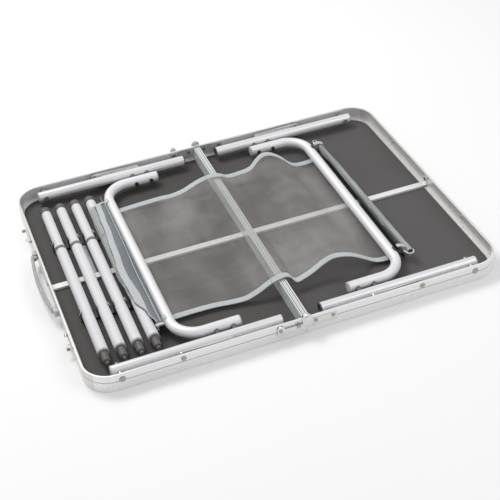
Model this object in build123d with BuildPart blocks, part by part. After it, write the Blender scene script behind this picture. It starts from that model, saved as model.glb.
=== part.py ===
from build123d import *

import os
from math import atan2, degrees, sqrt

# Folding camp table that shuts like a suitcase.
# It lies open on its tabletop: Z is up, the tabletop's outer face is at Z = 0 and the underside looks up.
# X runs along the long side and the fold line is X = 0. The left half is the one at negative X.
# "near" is negative Y and "far" is positive Y. All sizes are in millimetres.

# ---- driving dimensions ----
table_length = 800.0
table_width = 600.0
rim_height = 36.0
corner_radius = 50.0
fold_gap = 0.8  # between the two halves at the fold line
wall = 1.4  # skirt of the rim profile
lip_width = 4.0  # rolled top edge of the rim profile
lip_height = 2.6
ledge_width = 8.0  # inner ledge that holds the panel
ledge_height = 1.0
groove_height = 20.6
panel_top = 5.2  # underside of the tabletop, which looks up here
edge_return = 0.8  # rim edge that wraps the tabletop's outer face
edge_width = 6.0
clear = 0.05  # gap between pieces that are fixed to each other

leg_pivot_x = 340.0
leg_row_y = 275.0
leg_axis_z = 24.0
tube_radius = 10.0
tube_bore = 8.8
leg_foot_x = 38.0  # open end of the leg tube, near the fold line
leg_outer_x = 352.0
pivot_radius = 3.0
running = 0.06  # radial clearance of every pivot

u_back_x = 223.0
u_arm_y = 245.0
u_arm_end_x = 108.0
u_bend_radius = 48.0
u_screw_x = (154.0, 122.0)

strut_wall_x = 230.0
strut_wall_z = 28.0
strut_leg_reach = 128.0  # from the leg pivot to the strut's rivet on the leg tube
strut_elbow = (138.1, 26.0)  # folded position of the strut's elbow, |x| and z
strut_width = 12.0
strut_hole = 2.5
leg_link_band = (286.0, 287.6)  # distances from the long centre line
frame_link_band = (289.2, 290.8)

hinge_z = rim_height + 0.25
knuckle_radius = 9.0
hinge_pin_radius = 3.0
hinge_rivets_x = (17.0, 51.0)
hinge_rivet_z = 25.0
right_leaf_band = (300.05, 301.65)
left_leaf_band = (302.0, 303.6)
rivet_radius = 2.0
rivet_head = 4.0
head_height = 1.2

handle_pivot = (405.5, 25.0)  # |x| and z
handle_pin_radius = 2.5
handle_half = 82.4
latch_y = 147.0
latch_z = 17.0
latch_reach = 31.5
latch_layer = (402.1, 403.9)  # distances of the latch plate from the fold line
stud_radius = 2.5
stud_z = 2 * hinge_z - latch_z - latch_reach  # meets the latch when the halves are shut
rib_rivet_z = 21.0
rib_width = 13.5
rib_top = 10.0

extension_x = [-353.0 + 31.0 * k for k in range(4)]
extension_z = 21.0
main_radius = 10.7
main_bore = 10.0
main_low_y = -220.0
main_high_y = 84.0
foot_radius = 9.95
foot_low_y = 10.0
foot_high_y = 222.0
plug_radius = 7.4
clip_rows = {"far": (112.0, 10.35), "near": (-109.0, 11.05)}  # y of the row and radius of its cradles
clip_depth = 12.0

net_half_width = 178.0
net_thickness = 0.8

half_length = table_length / 2
half_width = table_width / 2
inner_wall = half_width - wall
inner_end = half_length - wall
sides = {"left": -1, "right": 1}
rows = (-1, 1)  # near and far

os.makedirs("parts", exist_ok=True)


def save(piece, name):
    """Label a finished piece and write it out."""
    piece.part.label = name
    export_step(piece.part, f"parts/{name}.step")


def half_outline(side, inset):
    """Outline of one half of the tabletop, moved inwards by inset."""
    with BuildSketch(mode=Mode.PRIVATE) as outline:
        RectangleRounded(table_length - 2 * inset, table_width - 2 * inset, corner_radius - inset)
        with Locations((side * (half_length / 2 + fold_gap / 2), 0)):
            Rectangle(half_length, table_width * 2, mode=Mode.INTERSECT)
    return outline.sketch


def band(side, inset, width, bottom, height, mode=Mode.ADD):
    """A strip of the rim that follows the outline, open at the fold line."""
    with BuildSketch(Plane.XY.offset(bottom)) as strip:
        add(half_outline(side, inset))
        add(half_outline(side, inset + width), mode=Mode.SUBTRACT)
    extrude(strip.sketch, amount=height, mode=mode)


def bar_y(x, z, radius, y_from, y_to, mode=Mode.ADD):
    """A round bar along Y."""
    low, high = sorted((y_from, y_to))
    with BuildSketch(Plane.XZ.offset(-high)) as disc:
        with Locations((x, z)):
            Circle(radius)
    extrude(disc.sketch, amount=high - low, mode=mode)


def bar_x(y, z, radius, x_from, x_to, mode=Mode.ADD):
    """A round bar along X."""
    low, high = sorted((x_from, x_to))
    with BuildSketch(Plane.YZ.offset(low)) as disc:
        with Locations((y, z)):
            Circle(radius)
    extrude(disc.sketch, amount=high - low, mode=mode)


def stepped_y(x, z, row, steps):
    """Coaxial discs along Y; each step is its two distances from the centre line and its radius."""
    for inner, outer, radius in steps:
        bar_y(x, z, radius, row * inner, row * outer)


def stepped_x(y, z, side, steps):
    """Coaxial discs along X; each step is its two distances from the fold line and its radius."""
    for inner, outer, radius in steps:
        bar_x(y, z, radius, side * inner, side * outer)


def layer_y(row, inner, outer):
    """Sketch plane and thickness of a flat layer between two distances from the centre line."""
    low, high = sorted((row * inner, row * outer))
    return Plane.XZ.offset(-high), high - low


def link(start, end, row, layer):
    """A flat strut link with a hole at each end."""
    plane, thickness = layer_y(row, *layer)
    length = sqrt((end[0] - start[0]) ** 2 + (end[1] - start[1]) ** 2)
    angle = degrees(atan2(end[1] - start[1], end[0] - start[0]))
    middle = ((start[0] + end[0]) / 2, (start[1] + end[1]) / 2)
    with BuildSketch(plane) as plate:
        with Locations(Location(middle, angle)):
            SlotCenterToCenter(length, strut_width)
        with Locations(start, end):
            Circle(strut_hole + running, mode=Mode.SUBTRACT)
    extrude(plate.sketch, amount=thickness)


# ---- tabletop panels ----
for name, side in sides.items():
    with BuildPart() as panel:
        with BuildSketch():
            add(half_outline(side, edge_width + clear))
        extrude(amount=edge_return + clear)
        with BuildSketch(Plane.XY.offset(edge_return + clear)):
            add(half_outline(side, wall + clear))
        extrude(amount=panel_top - edge_return - 2 * clear)
    save(panel, f"{name}_panel")


# ---- rim: one bent profile round each half ----
end_holes = {
    "left": [(0.0, rib_rivet_z), (-87.0, 25.0), (87.0, 25.0), (-latch_y, latch_z), (latch_y, latch_z)],
    "right": [(0.0, rib_rivet_z)],
}
for name, side in sides.items():
    with BuildPart() as rim:
        band(side, 0, wall, 0, rim_height)
        band(side, 0, edge_width, 0, edge_return)
        band(side, wall + clear, ledge_width - wall - clear, panel_top, ledge_height)
        band(side, 0, lip_width, rim_height - lip_height, lip_height)
        band(side, -1, 1.5, groove_height, 1.0, mode=Mode.SUBTRACT)
        top_edges = rim.edges().group_by(Axis.Z)[-1].filter_by(lambda edge: edge.length > 10)
        fillet(top_edges, 1.1)
        # holes for the leg pivots, strut rivets and hinge rivets in both long walls
        for x, z, radius in (
            (leg_pivot_x, leg_axis_z, pivot_radius),
            (strut_wall_x, strut_wall_z, strut_hole),
            (hinge_rivets_x[0], hinge_rivet_z, rivet_radius),
            (hinge_rivets_x[1], hinge_rivet_z, rivet_radius),
        ):
            bar_y(side * x, z, radius + clear, -half_width - 1, half_width + 1, mode=Mode.SUBTRACT)
        for y, z in end_holes[name]:
            bar_x(y, z, rivet_radius + clear, side * (inner_end - 6), side * (half_length + 1), mode=Mode.SUBTRACT)
        if name == "right":
            for row in rows:
                y = row * latch_y
                bar_x(y, stud_z, stud_radius + clear, inner_end - 6, half_length + 1, mode=Mode.SUBTRACT)
        # hairline cuts where the bends begin, so that each length is a simple solid
        bend_x, bend_y = half_length - corner_radius, half_width - corner_radius
        with BuildSketch() as cuts:
            with Locations((side * bend_x, half_width), (side * bend_x, -half_width)):
                Rectangle(clear, 3 * ledge_width)
            with Locations((side * half_length, bend_y), (side * half_length, -bend_y)):
                Rectangle(3 * ledge_width, clear)
        extrude(cuts.sketch, amount=rim_height + 1, mode=Mode.SUBTRACT)
    save(rim, f"{name}_rim")


# ---- centre rails: a slotted box profile along each side of the fold line ----
rail_width = 6.2
rail_wall = 1.0
rail_slot = 1.4
rail_top = 35.2
rail_half = 291.5
for name, side in sides.items():
    middle = side * (fold_gap / 2 + rail_width / 2)
    height = rail_top - panel_top - clear
    with BuildPart() as rail:
        with BuildSketch(Plane.XZ.offset(-rail_half)):
            with Locations((middle, panel_top + clear + height / 2)):
                Rectangle(rail_width, height)
                Rectangle(rail_width - 2 * rail_wall, height - 2 * rail_wall, mode=Mode.SUBTRACT)
            with Locations((middle, rail_top)):
                Rectangle(rail_slot, 3 * rail_wall, mode=Mode.SUBTRACT)
        extrude(amount=2 * rail_half)
    save(rail, f"{name}_centre_rail")


# ---- panel ribs: a hat strip across each panel, turned up and riveted to the end wall ----
rib_inner_x = 7.2
rib_outer_x = inner_end - ledge_width + wall - 0.5
rib_sheet = 1.0
for name, side in sides.items():
    start, end = sorted((side * rib_inner_x, side * rib_outer_x))
    bottom = panel_top + clear
    with BuildPart() as rib:
        with BuildSketch(Plane.YZ.offset(start)):
            with Locations((0, (bottom + rib_top) / 2)):
                Rectangle(rib_width, rib_top - bottom)
            with Locations((0, (bottom + rib_top - rib_sheet) / 2)):
                Rectangle(rib_width - 2 * rib_sheet, rib_top - rib_sheet - bottom, mode=Mode.SUBTRACT)
        extrude(amount=end - start)
        tab_outer = inner_end - clear
        tab_inner = tab_outer - 1.2
        tongue = sorted((side * rib_outer_x, side * tab_outer))
        with BuildSketch(Plane.XY.offset(rib_top - rib_sheet)):
            with Locations(((tongue[0] + tongue[1]) / 2, 0)):
                Rectangle(tongue[1] - tongue[0], rib_width)
        extrude(amount=rib_sheet)
        # the tab stands on the tongue against the end wall
        plate = sorted((side * tab_inner, side * tab_outer))
        with BuildSketch(Plane.YZ.offset(plate[0])):
            with Locations((0, (rib_top + clear + 27.0) / 2)):
                Rectangle(rib_width, 27.0 - rib_top - clear)
        extrude(amount=plate[1] - plate[0])
        top_corners = rib.edges().filter_by(Axis.X).group_by(Axis.Z)[-1]
        fillet(top_corners, 5.0)
        bar_x(0, rib_rivet_z, rivet_radius + clear, side * (tab_inner - 1), side * (tab_outer + 1), mode=Mode.SUBTRACT)
    save(rib, f"{name}_panel_rib")


# ---- fold hinges: outer leaves with a knuckle, inner backing plates, pins and rivets ----
inner_plate = (inner_wall - 1.25, inner_wall - clear)
for name, side in sides.items():
    layer = left_leaf_band if name == "left" else right_leaf_band
    with BuildPart() as leaves:
        for row in rows:
            plane, thickness = layer_y(row, *layer)
            with BuildSketch(plane):
                with Locations((0, hinge_z)):
                    Circle(knuckle_radius)
                with Locations((0, 24.75)):
                    Rectangle(2 * knuckle_radius, 23.0)
                if name == "left":
                    with Locations((-28.5, 19.5)):
                        Rectangle(57.0, 13.0)
                    ear = (-50.5, 36.0) if row == 1 else (-50.5, 28.0)
                    with Locations(ear):
                        Circle(6.5)
                    with Locations((-50.5, (13.0 + ear[1]) / 2)):
                        Rectangle(13.0, ear[1] - 13.0)
                else:
                    with Locations((29.5, 21.5)):
                        Rectangle(59.0, 17.0)
                with Locations((0, hinge_z)):
                    Circle(hinge_pin_radius + running, mode=Mode.SUBTRACT)
                for x in hinge_rivets_x:
                    with Locations((side * x, hinge_rivet_z)):
                        Circle(rivet_radius + clear, mode=Mode.SUBTRACT)
            extrude(amount=thickness)
            plane, thickness = layer_y(row, *inner_plate)
            with BuildSketch(plane):
                with Locations((side * 33.0, 20.0)):
                    Rectangle(51.6, 25.0)
                for x in hinge_rivets_x:
                    with Locations((side * x, hinge_rivet_z)):
                        Circle(rivet_radius + clear, mode=Mode.SUBTRACT)
            extrude(amount=thickness)
    save(leaves, f"{name}_hinge_leaves")

with BuildPart() as hinge_pins:
    for row in rows:
        steps = (
            (right_leaf_band[0], left_leaf_band[1] + clear, hinge_pin_radius),
            (left_leaf_band[1] + clear, left_leaf_band[1] + 1.7, 5.0),
        )
        stepped_y(0, hinge_z, row, steps)
    fillet(hinge_pins.edges().group_by(Axis.Y)[-1], 1.0)
    fillet(hinge_pins.edges().group_by(Axis.Y)[0], 1.0)
save(hinge_pins, "hinge_pins")

for name, side in sides.items():
    layer = left_leaf_band if name == "left" else right_leaf_band
    with BuildPart() as rivets:
        for row in rows:
            for x in hinge_rivets_x:
                steps = [
                    (inner_plate[0] - head_height, inner_plate[0] - clear, rivet_head),
                    (inner_plate[0] - clear, layer[1] + clear, rivet_radius),
                    (layer[1] + clear, layer[1] + head_height, rivet_head),
                ]
                if name == "left":
                    # a washer holds the leaf off the wall
                    steps.append((half_width + clear, layer[0] - clear, rivet_head))
                stepped_y(side * x, hinge_rivet_z, row, steps)
        fillet(rivets.edges().group_by(Axis.Y)[-1], 0.9)
        fillet(rivets.edges().group_by(Axis.Y)[0], 0.9)
        # the rivet that holds the rib's tab to the end wall
        steps = (
            (tab_inner - head_height, tab_inner - clear, rivet_head),
            (tab_inner - clear, half_length + clear, rivet_radius),
            (half_length + clear, half_length + head_height, rivet_head),
        )
        stepped_x(0, rib_rivet_z, side, steps)
        if name == "left":
            # the two pivot rivets of the latches
            steps = (
                (inner_end - 1.2, inner_end - clear, rivet_head),
                (inner_end - clear, latch_layer[1] + 0.1, rivet_radius),
                (half_length + clear, latch_layer[0] - 0.1, 4.0),
                (latch_layer[1] + 0.1, latch_layer[1] + 1.3, 3.4),
            )
            for row in rows:
                stepped_x(row * latch_y, latch_z, side, steps)
    save(rivets, f"{name}_rim_rivets")


# ---- leg frames ----
for name, side in sides.items():
    pivot_x = side * leg_pivot_x
    strut_x = side * (leg_pivot_x - strut_leg_reach)

    # two leg tubes, cross-drilled for the pivots, the strut rivets and the frame screws
    with BuildPart() as leg_tubes:
        for row in rows:
            y = row * leg_row_y
            bar_x(y, leg_axis_z, tube_radius, side * leg_foot_x, side * leg_outer_x)
        for row in rows:
            y = row * leg_row_y
            bar_x(y, leg_axis_z, tube_bore, side * leg_foot_x, side * leg_outer_x, mode=Mode.SUBTRACT)
            bar_y(pivot_x, leg_axis_z, pivot_radius + running, y - 12, y + 12, mode=Mode.SUBTRACT)
            bar_y(strut_x, leg_axis_z, strut_hole + clear, y, y + row * 12, mode=Mode.SUBTRACT)
            for x in u_screw_x:
                bar_y(side * x, leg_axis_z, rivet_radius + clear, y, y - row * 12, mode=Mode.SUBTRACT)
    save(leg_tubes, f"{name}_leg_tubes")

    # plugs that close the outer ends of the leg tubes and the ends of the U-tube's arms
    with BuildPart() as plugs:
        for row in rows:
            steps = ((leg_outer_x - 4, leg_outer_x, tube_bore - clear), (leg_outer_x, leg_outer_x + 3, tube_radius))
            stepped_x(row * leg_row_y, leg_axis_z, side, steps)
            steps = ((u_arm_end_x, u_arm_end_x + 8, tube_bore - clear), (u_arm_end_x - 3, u_arm_end_x, tube_radius))
            stepped_x(row * u_arm_y, leg_axis_z, side, steps)
        for group in (0, -1):
            fillet(plugs.edges().group_by(Axis.X)[group], 2.0)
    save(plugs, f"{name}_tube_plugs")

    # sockets in the open leg ends that take the extension legs
    with BuildPart() as sockets:
        for row in rows:
            steps = ((leg_foot_x, leg_foot_x + 32, tube_bore - clear), (leg_foot_x - 2.5, leg_foot_x, tube_radius))
            stepped_x(row * leg_row_y, leg_axis_z, side, steps)
        for row in rows:
            y = row * leg_row_y
            bar_x(y, leg_axis_z, plug_radius + 0.1, side * (leg_foot_x - 3), side * (leg_foot_x + 33), mode=Mode.SUBTRACT)
    save(sockets, f"{name}_leg_sockets")

    # U-shaped cross tube between the legs
    with BuildPart() as u_tube:
        with BuildLine() as path:
            FilletPolyline(
                (side * u_arm_end_x, -u_arm_y, leg_axis_z),
                (side * u_back_x, -u_arm_y, leg_axis_z),
                (side * u_back_x, u_arm_y, leg_axis_z),
                (side * u_arm_end_x, u_arm_y, leg_axis_z),
                radius=u_bend_radius,
            )
        with BuildSketch(Plane(origin=path.line @ 0, z_dir=path.line % 0)):
            Circle(tube_radius)
            Circle(tube_bore, mode=Mode.SUBTRACT)
        sweep()
        for row in rows:
            y = row * u_arm_y
            for x in u_screw_x:
                bar_y(side * x, leg_axis_z, rivet_radius + clear, y - 12, y + 12, mode=Mode.SUBTRACT)
    save(u_tube, f"{name}_u_tube")

    # saddle spacers between the arms and the leg tubes
    with BuildPart() as spacers:
        for row in rows:
            for x in u_screw_x:
                bar_y(side * x, leg_axis_z, 5.0, row * 250, row * 270)
        for row in rows:
            for x in u_screw_x:
                bar_y(side * x, leg_axis_z, rivet_radius + clear, row * 249, row * 271, mode=Mode.SUBTRACT)
            for y in (u_arm_y, leg_row_y):
                bar_x(row * y, leg_axis_z, tube_radius + clear, side * 100, side * 170, mode=Mode.SUBTRACT)
    save(spacers, f"{name}_u_spacers")

    # screws through the arms into the leg tubes
    with BuildPart() as screws:
        arm_inside = u_arm_y - tube_radius
        for row in rows:
            for x in u_screw_x:
                steps = (
                    (arm_inside - 2.4, arm_inside - clear, rivet_head),
                    (arm_inside - clear, leg_row_y + tube_bore - 1, rivet_radius),
                )
                stepped_y(side * x, leg_axis_z, row, steps)
        for row in rows:
            for x in u_screw_x:
                bar_y(side * x, leg_axis_z, 1.6, row * (arm_inside - 3), row * (arm_inside - 1.2), mode=Mode.SUBTRACT)
    save(screws, f"{name}_u_screws")

    # shoulder bolts that carry the legs, fixed in the rim
    with BuildPart() as bolts:
        leg_inside = leg_row_y - tube_radius
        leg_outside = leg_row_y + tube_radius
        for row in rows:
            steps = (
                (leg_inside - 2.2, leg_inside - 0.35, 5.0),
                (leg_inside - 0.35, half_width + clear, pivot_radius),
                (leg_outside + 0.35, inner_wall - clear, 5.0),
                (half_width + clear, half_width + 1.8, 6.0),
            )
            stepped_y(pivot_x, leg_axis_z, row, steps)
        for group in (0, -1):
            fillet(bolts.edges().group_by(Axis.Y)[group], 1.2)
    save(bolts, f"{name}_leg_pivot_bolts")

    # rivets that carry the struts, fixed in the rim
    with BuildPart() as strut_rivets:
        for row in rows:
            steps = (
                (frame_link_band[0] - 1.1, frame_link_band[0] - 0.1, rivet_head),
                (frame_link_band[0] - 0.1, half_width + clear, strut_hole),
                (frame_link_band[1] + 0.1, inner_wall - clear, 4.5),
                (half_width + clear, half_width + 1.6, 5.0),
            )
            stepped_y(side * strut_wall_x, strut_wall_z, row, steps)
        for group in (0, -1):
            fillet(strut_rivets.edges().group_by(Axis.Y)[group], 1.2)
    save(strut_rivets, f"{name}_strut_rivets")


# ---- folding struts: a wall link and a leg link on each long side ----
for name, side in sides.items():
    elbow = (side * strut_elbow[0], strut_elbow[1])
    wall_end = (side * strut_wall_x, strut_wall_z)
    leg_end = (side * (leg_pivot_x - strut_leg_reach), leg_axis_z)

    with BuildPart() as wall_links:
        for row in rows:
            link(wall_end, elbow, row, frame_link_band)
            steps = (
                (frame_link_band[0] - 0.5, frame_link_band[0], 3.5),
                (frame_link_band[0], frame_link_band[1], strut_hole + running),
                (frame_link_band[1], frame_link_band[1] + 1.2, rivet_head),
            )
            stepped_y(*elbow, row, steps)
    save(wall_links, f"{name}_strut_wall_links")

    with BuildPart() as leg_links:
        for row in rows:
            link(leg_end, elbow, row, leg_link_band)
            steps = (
                (leg_link_band[0] - 0.8, leg_link_band[0], 3.5),
                (leg_link_band[0], leg_link_band[1], strut_hole + running),
                (leg_link_band[1], leg_link_band[1] + 0.6, 3.5),
            )
            stepped_y(*elbow, row, steps)
    save(leg_links, f"{name}_strut_leg_links")

    # rivets that hold the leg links to the leg tubes
    with BuildPart() as leg_rivets:
        for row in rows:
            steps = (
                (leg_row_y + 4, leg_link_band[1] + 0.1, strut_hole),
                (leg_row_y + tube_radius + clear, leg_link_band[0] - 0.1, rivet_head),
                (leg_link_band[1] + 0.1, leg_link_band[1] + 1.1, rivet_head),
            )
            stepped_y(*leg_end, row, steps)
    save(leg_rivets, f"{name}_leg_strut_rivets")


# ---- clips for the extension legs ----
with BuildPart() as clip_bases:
    for y, cradle in clip_rows.values():
        bottom = panel_top + clear
        top = extension_z - cradle - 1.2 - clear
        with BuildSketch(Plane.XY.offset(bottom)):
            with Locations(((extension_x[0] + extension_x[-1]) / 2, y)):
                RectangleRounded(extension_x[-1] - extension_x[0] + 26, clip_depth + 2, 3)
        extrude(amount=top - bottom)
save(clip_bases, "clip_bases")

spring_sheet = 1.2
with BuildPart() as clip_springs:
    for y, cradle in clip_rows.values():
        floor = extension_z - cradle
        for x in extension_x:
            with BuildSketch(Plane.XY.offset(floor - spring_sheet)):
                with Locations((x, y)):
                    Rectangle(2 * (cradle + spring_sheet), clip_depth)
            extrude(amount=spring_sheet)
            for hand in (-1, 1):
                with BuildSketch(Plane.XY.offset(floor + clear)):
                    with Locations((x + hand * (cradle + spring_sheet / 2), y)):
                        Rectangle(spring_sheet, clip_depth)
                extrude(amount=extension_z + 6 - floor - clear)
    # a strip that ties the far row down between the second and third leg
    with BuildSketch(Plane.XY.offset(panel_top + clear)):
        with Locations(((extension_x[1] + extension_x[2]) / 2, 56.0)):
            Rectangle(8.0, 96.0)
    extrude(amount=1.6)
save(clip_springs, "clip_springs")


# ---- extension legs: a main tube, its fittings and a foot section that slides inside it ----
for number, x in enumerate(extension_x, start=1):
    with BuildPart() as main_tube:
        bar_y(x, extension_z, main_radius, main_low_y, main_high_y)
        bar_y(x, extension_z, main_bore, main_low_y, main_high_y, mode=Mode.SUBTRACT)
    save(main_tube, f"extension_{number}_tube")

    with BuildPart() as fittings:
        # plug that pushes into a leg socket, with its collar
        bar_y(x, extension_z, main_bore - clear, main_low_y, main_low_y + 13)
        bar_y(x, extension_z, 11.0, main_low_y - 4, main_low_y)
        bar_y(x, extension_z, plug_radius, main_low_y - 27, main_low_y - 4)
        chamfer(fittings.edges().group_by(Axis.Y)[0], 1.2)
        bar_y(x, extension_z, 4.0, main_low_y - 33, main_low_y - 27)
        # lock ring at the other end
        bar_y(x, extension_z, 11.8, main_high_y + clear, main_high_y + 7)
        bar_y(x, extension_z, main_bore + 0.02, main_high_y, main_high_y + 8, mode=Mode.SUBTRACT)
    save(fittings, f"extension_{number}_fittings")

    with BuildPart() as foot:
        bar_y(x, extension_z, foot_radius, foot_low_y, foot_high_y)
        bar_y(x, extension_z, foot_radius - 1, foot_low_y, foot_high_y, mode=Mode.SUBTRACT)
        bar_y(x, extension_z, foot_radius - 1 - clear, foot_high_y - 10, foot_high_y + clear)
        bar_y(x, extension_z, 10.6, foot_high_y + clear, foot_high_y + 5)
        fillet(foot.edges().group_by(Axis.Y)[-1], 2.0)
    save(foot, f"extension_{number}_foot")


# ---- carrying handle on the left end wall ----
with BuildPart() as handle_brackets:
    for row in rows:
        with BuildSketch(Plane.YZ.offset(-half_length - 9)):
            with Locations((row * 89.0, handle_pivot[1])):
                RectangleRounded(12, 16, 3)
        extrude(amount=9 - clear)
        bar_y(-handle_pivot[0], handle_pivot[1], handle_pin_radius, row * 75.8, row * 84)
        bar_x(row * 87.0, 25.0, rivet_radius, -half_length - clear, -inner_end + clear)
        bar_x(row * 87.0, 25.0, rivet_head, -inner_end + clear, -inner_end + 1.2)
save(handle_brackets, "handle_brackets")

with BuildPart() as handle_grip:
    with BuildSketch(Plane.XY.offset(18)):
        with BuildLine():
            ThreePointArc((-413, -handle_half), (-420, 0), (-413, handle_half))
            Line((-413, handle_half), (-407, handle_half))
            ThreePointArc((-407, handle_half), (-413.5, 0), (-407, -handle_half))
            Line((-407, -handle_half), (-413, -handle_half))
        make_face()
    extrude(amount=14)
    fillet(handle_grip.edges().filter_by(lambda edge: edge.length > 100), 2.5)
    for row in rows:
        bar_y(-handle_pivot[0], handle_pivot[1], 4.6, row * 76.4, row * handle_half)
    for row in rows:
        radius = handle_pin_radius + running
        bar_y(-handle_pivot[0], handle_pivot[1], radius, row * 70, row * 90, mode=Mode.SUBTRACT)
save(handle_grip, "handle_grip")


# ---- latches: a swinging hook on the left end wall and a stud on the right one ----
for label, row in (("near", -1), ("far", 1)):
    with BuildPart() as latch:
        with BuildSketch(Plane.YZ.offset(-latch_layer[1])):
            with Locations((row * (latch_y + latch_reach / 2 + 3), latch_z)):
                SlotCenterToCenter(latch_reach + 6, 9)
            with Locations((row * latch_y, latch_z)):
                Circle(rivet_radius + running, mode=Mode.SUBTRACT)
            with Locations((row * (latch_y + latch_reach), latch_z)):
                Circle(stud_radius + 0.3, mode=Mode.SUBTRACT)
            with Locations((row * (latch_y + latch_reach), latch_z + 5)):
                Rectangle(2 * stud_radius + 0.6, 10, mode=Mode.SUBTRACT)
        extrude(amount=latch_layer[1] - latch_layer[0])
        bar_x(row * (latch_y + latch_reach + 6), latch_z, 3.0, -latch_layer[1], -latch_layer[1] - 6)
    save(latch, f"latch_{label}")

with BuildPart() as latch_studs:
    for row in rows:
        steps = (
            (inner_end - 1.2, inner_end - clear, rivet_head),
            (inner_end - clear, half_length + 4.6, stud_radius),
            (half_length + 4.6, half_length + 5.8, 4.2),
        )
        stepped_x(row * latch_y, stud_z, 1, steps)
save(latch_studs, "latch_studs")


# ---- storage net slung between the two U-tubes, and its folded ends ----
net_profile = {
    "left": [(-212, 13.5), (-128, 13.8), (-73.6, 18.0), (-35.2, 31.2), (-0.3, 40.0)],
    "right": [(0.3, 40.0), (9.0, 38.8), (30.0, 27.0), (79.2, 34.4), (118.4, 54.0), (148.0, 44.0), (174.4, 20.0), (212, 13.5)],
}
for name, points in net_profile.items():
    upper = [(x, z + net_thickness) for x, z in points]
    with BuildPart() as net:
        with BuildSketch(Plane.XZ.offset(-net_half_width)):
            with BuildLine():
                Spline(*points)
                Spline(*upper)
                Line(points[0], upper[0])
                Line(points[-1], upper[-1])
            make_face()
        extrude(amount=2 * net_half_width)
    save(net, f"net_{name}")

flap_half = 183.0
flap_outline = {
    "left": [(-236.0, 20.0), (-237.5, 20.0), (-247.5, 34.6), (-270.0, 34.6), (-270.0, 36.4), (-246.5, 36.4)],
    "right": [(249.0, 13.0), (257.0, 15.0), (260.0, 31.0), (249.0, 31.0)],
}
for name, points in flap_outline.items():
    with BuildPart() as flap:
        with BuildSketch(Plane.XZ.offset(-flap_half)):
            with BuildLine():
                Polyline(*points, close=True)
            make_face()
        extrude(amount=2 * flap_half)
    save(flap, f"{name}_net_flap")

# stiffening batten of each folded end, hung on the U-tube by a hook at each end
for name, side in sides.items():
    with BuildPart() as batten:
        with BuildSketch(Plane.XZ.offset(-200)):
            with Locations((side * 245.0, 17.0)):
                Rectangle(2.4, 10)
        extrude(amount=400)
        for row in rows:
            with BuildSketch(Plane.XZ.offset(-(row * 190 + 5))):
                with Locations((side * u_back_x, leg_axis_z)):
                    Circle(tube_radius + 1.6)
                    Circle(tube_radius + clear, mode=Mode.SUBTRACT)
                with Locations((side * (u_back_x - 20 + 3), leg_axis_z)):
                    Rectangle(40, 40, mode=Mode.SUBTRACT)
                with Locations((side * 239.0, 19.5)):
                    Rectangle(10.6, 5)
                with Locations((side * u_back_x, leg_axis_z)):
                    Circle(tube_radius + clear, mode=Mode.SUBTRACT)
            extrude(amount=10)
    save(batten, f"{name}_net_batten")


# ---- strut geometry, for the joint ratios ----
wall_link_length = sqrt((strut_wall_x - strut_elbow[0]) ** 2 + (strut_wall_z - strut_elbow[1]) ** 2)
leg_link_length = sqrt((leg_pivot_x - strut_leg_reach - strut_elbow[0]) ** 2 + (leg_axis_z - strut_elbow[1]) ** 2)
span = sqrt((leg_pivot_x - strut_wall_x) ** 2 + (leg_axis_z + strut_leg_reach - strut_wall_z) ** 2)
raised = degrees(atan2(leg_axis_z + strut_leg_reach - strut_wall_z, strut_wall_x - leg_pivot_x))
folded_wall = degrees(atan2(strut_elbow[1] - strut_wall_z, strut_wall_x - strut_elbow[0]))
folded_leg = degrees(atan2(strut_elbow[1] - leg_axis_z, leg_pivot_x - strut_leg_reach - strut_elbow[0]))
print("strut links", round(wall_link_length, 2), round(leg_link_length, 2), "span when raised", round(span, 2))
print("wall link turns", round(raised - folded_wall, 3), "leg link turns", round(raised - 180 - 90 - folded_leg, 3))
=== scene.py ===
"""Finishes, soft goods, fittings, camera and light of a folding camp table that shuts like a suitcase.

The table lies open on its tabletop. Lengths are in metres, X runs along the long side across the fold,
Y from near to far and Z up towards the underside.
"""
import logging
import math
from dataclasses import dataclass
from enum import Enum
from typing import Callable, Iterable, Optional, Sequence, Union

import bpy
import bmesh
from mathutils import Matrix, Vector
from mathutils.noise import noise as lattice_noise


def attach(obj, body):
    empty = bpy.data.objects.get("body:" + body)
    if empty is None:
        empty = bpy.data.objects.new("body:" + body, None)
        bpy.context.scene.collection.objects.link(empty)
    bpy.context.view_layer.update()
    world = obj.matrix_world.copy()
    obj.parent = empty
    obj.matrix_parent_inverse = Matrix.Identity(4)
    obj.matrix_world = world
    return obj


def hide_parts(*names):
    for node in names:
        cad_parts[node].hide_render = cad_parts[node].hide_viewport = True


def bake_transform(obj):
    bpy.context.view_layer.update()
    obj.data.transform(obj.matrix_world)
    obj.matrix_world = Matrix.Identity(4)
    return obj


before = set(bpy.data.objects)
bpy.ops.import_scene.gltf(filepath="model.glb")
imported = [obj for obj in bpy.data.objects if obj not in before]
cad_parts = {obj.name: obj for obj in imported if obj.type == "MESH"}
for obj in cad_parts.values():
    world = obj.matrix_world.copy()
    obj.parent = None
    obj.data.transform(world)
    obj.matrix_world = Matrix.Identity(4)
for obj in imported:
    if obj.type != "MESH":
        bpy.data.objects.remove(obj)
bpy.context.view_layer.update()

logging.basicConfig(level=logging.INFO, format="%(message)s")
log = logging.getLogger("camp_table")

MM = 0.001
Colour = tuple[float, float, float]
Point = tuple[float, float, float]
Number = Union[int, float]
Piece = bpy.types.Object


class Half(Enum):
    """The two halves of the tabletop, by the sign of their X."""

    LEFT = -1
    RIGHT = 1

    @property
    def label(self) -> str:
        """Name used in the frame's nodes and bodies."""
        return self.name.lower()


class Row(Enum):
    """The two long sides, by the sign of their Y."""

    NEAR = -1
    FAR = 1


class Axis(Enum):
    """Direction that a grain or a brushed finish runs in."""

    X = 0
    Y = 1
    Z = 2


# ---------------------------------------------------------------- shader graph


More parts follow.
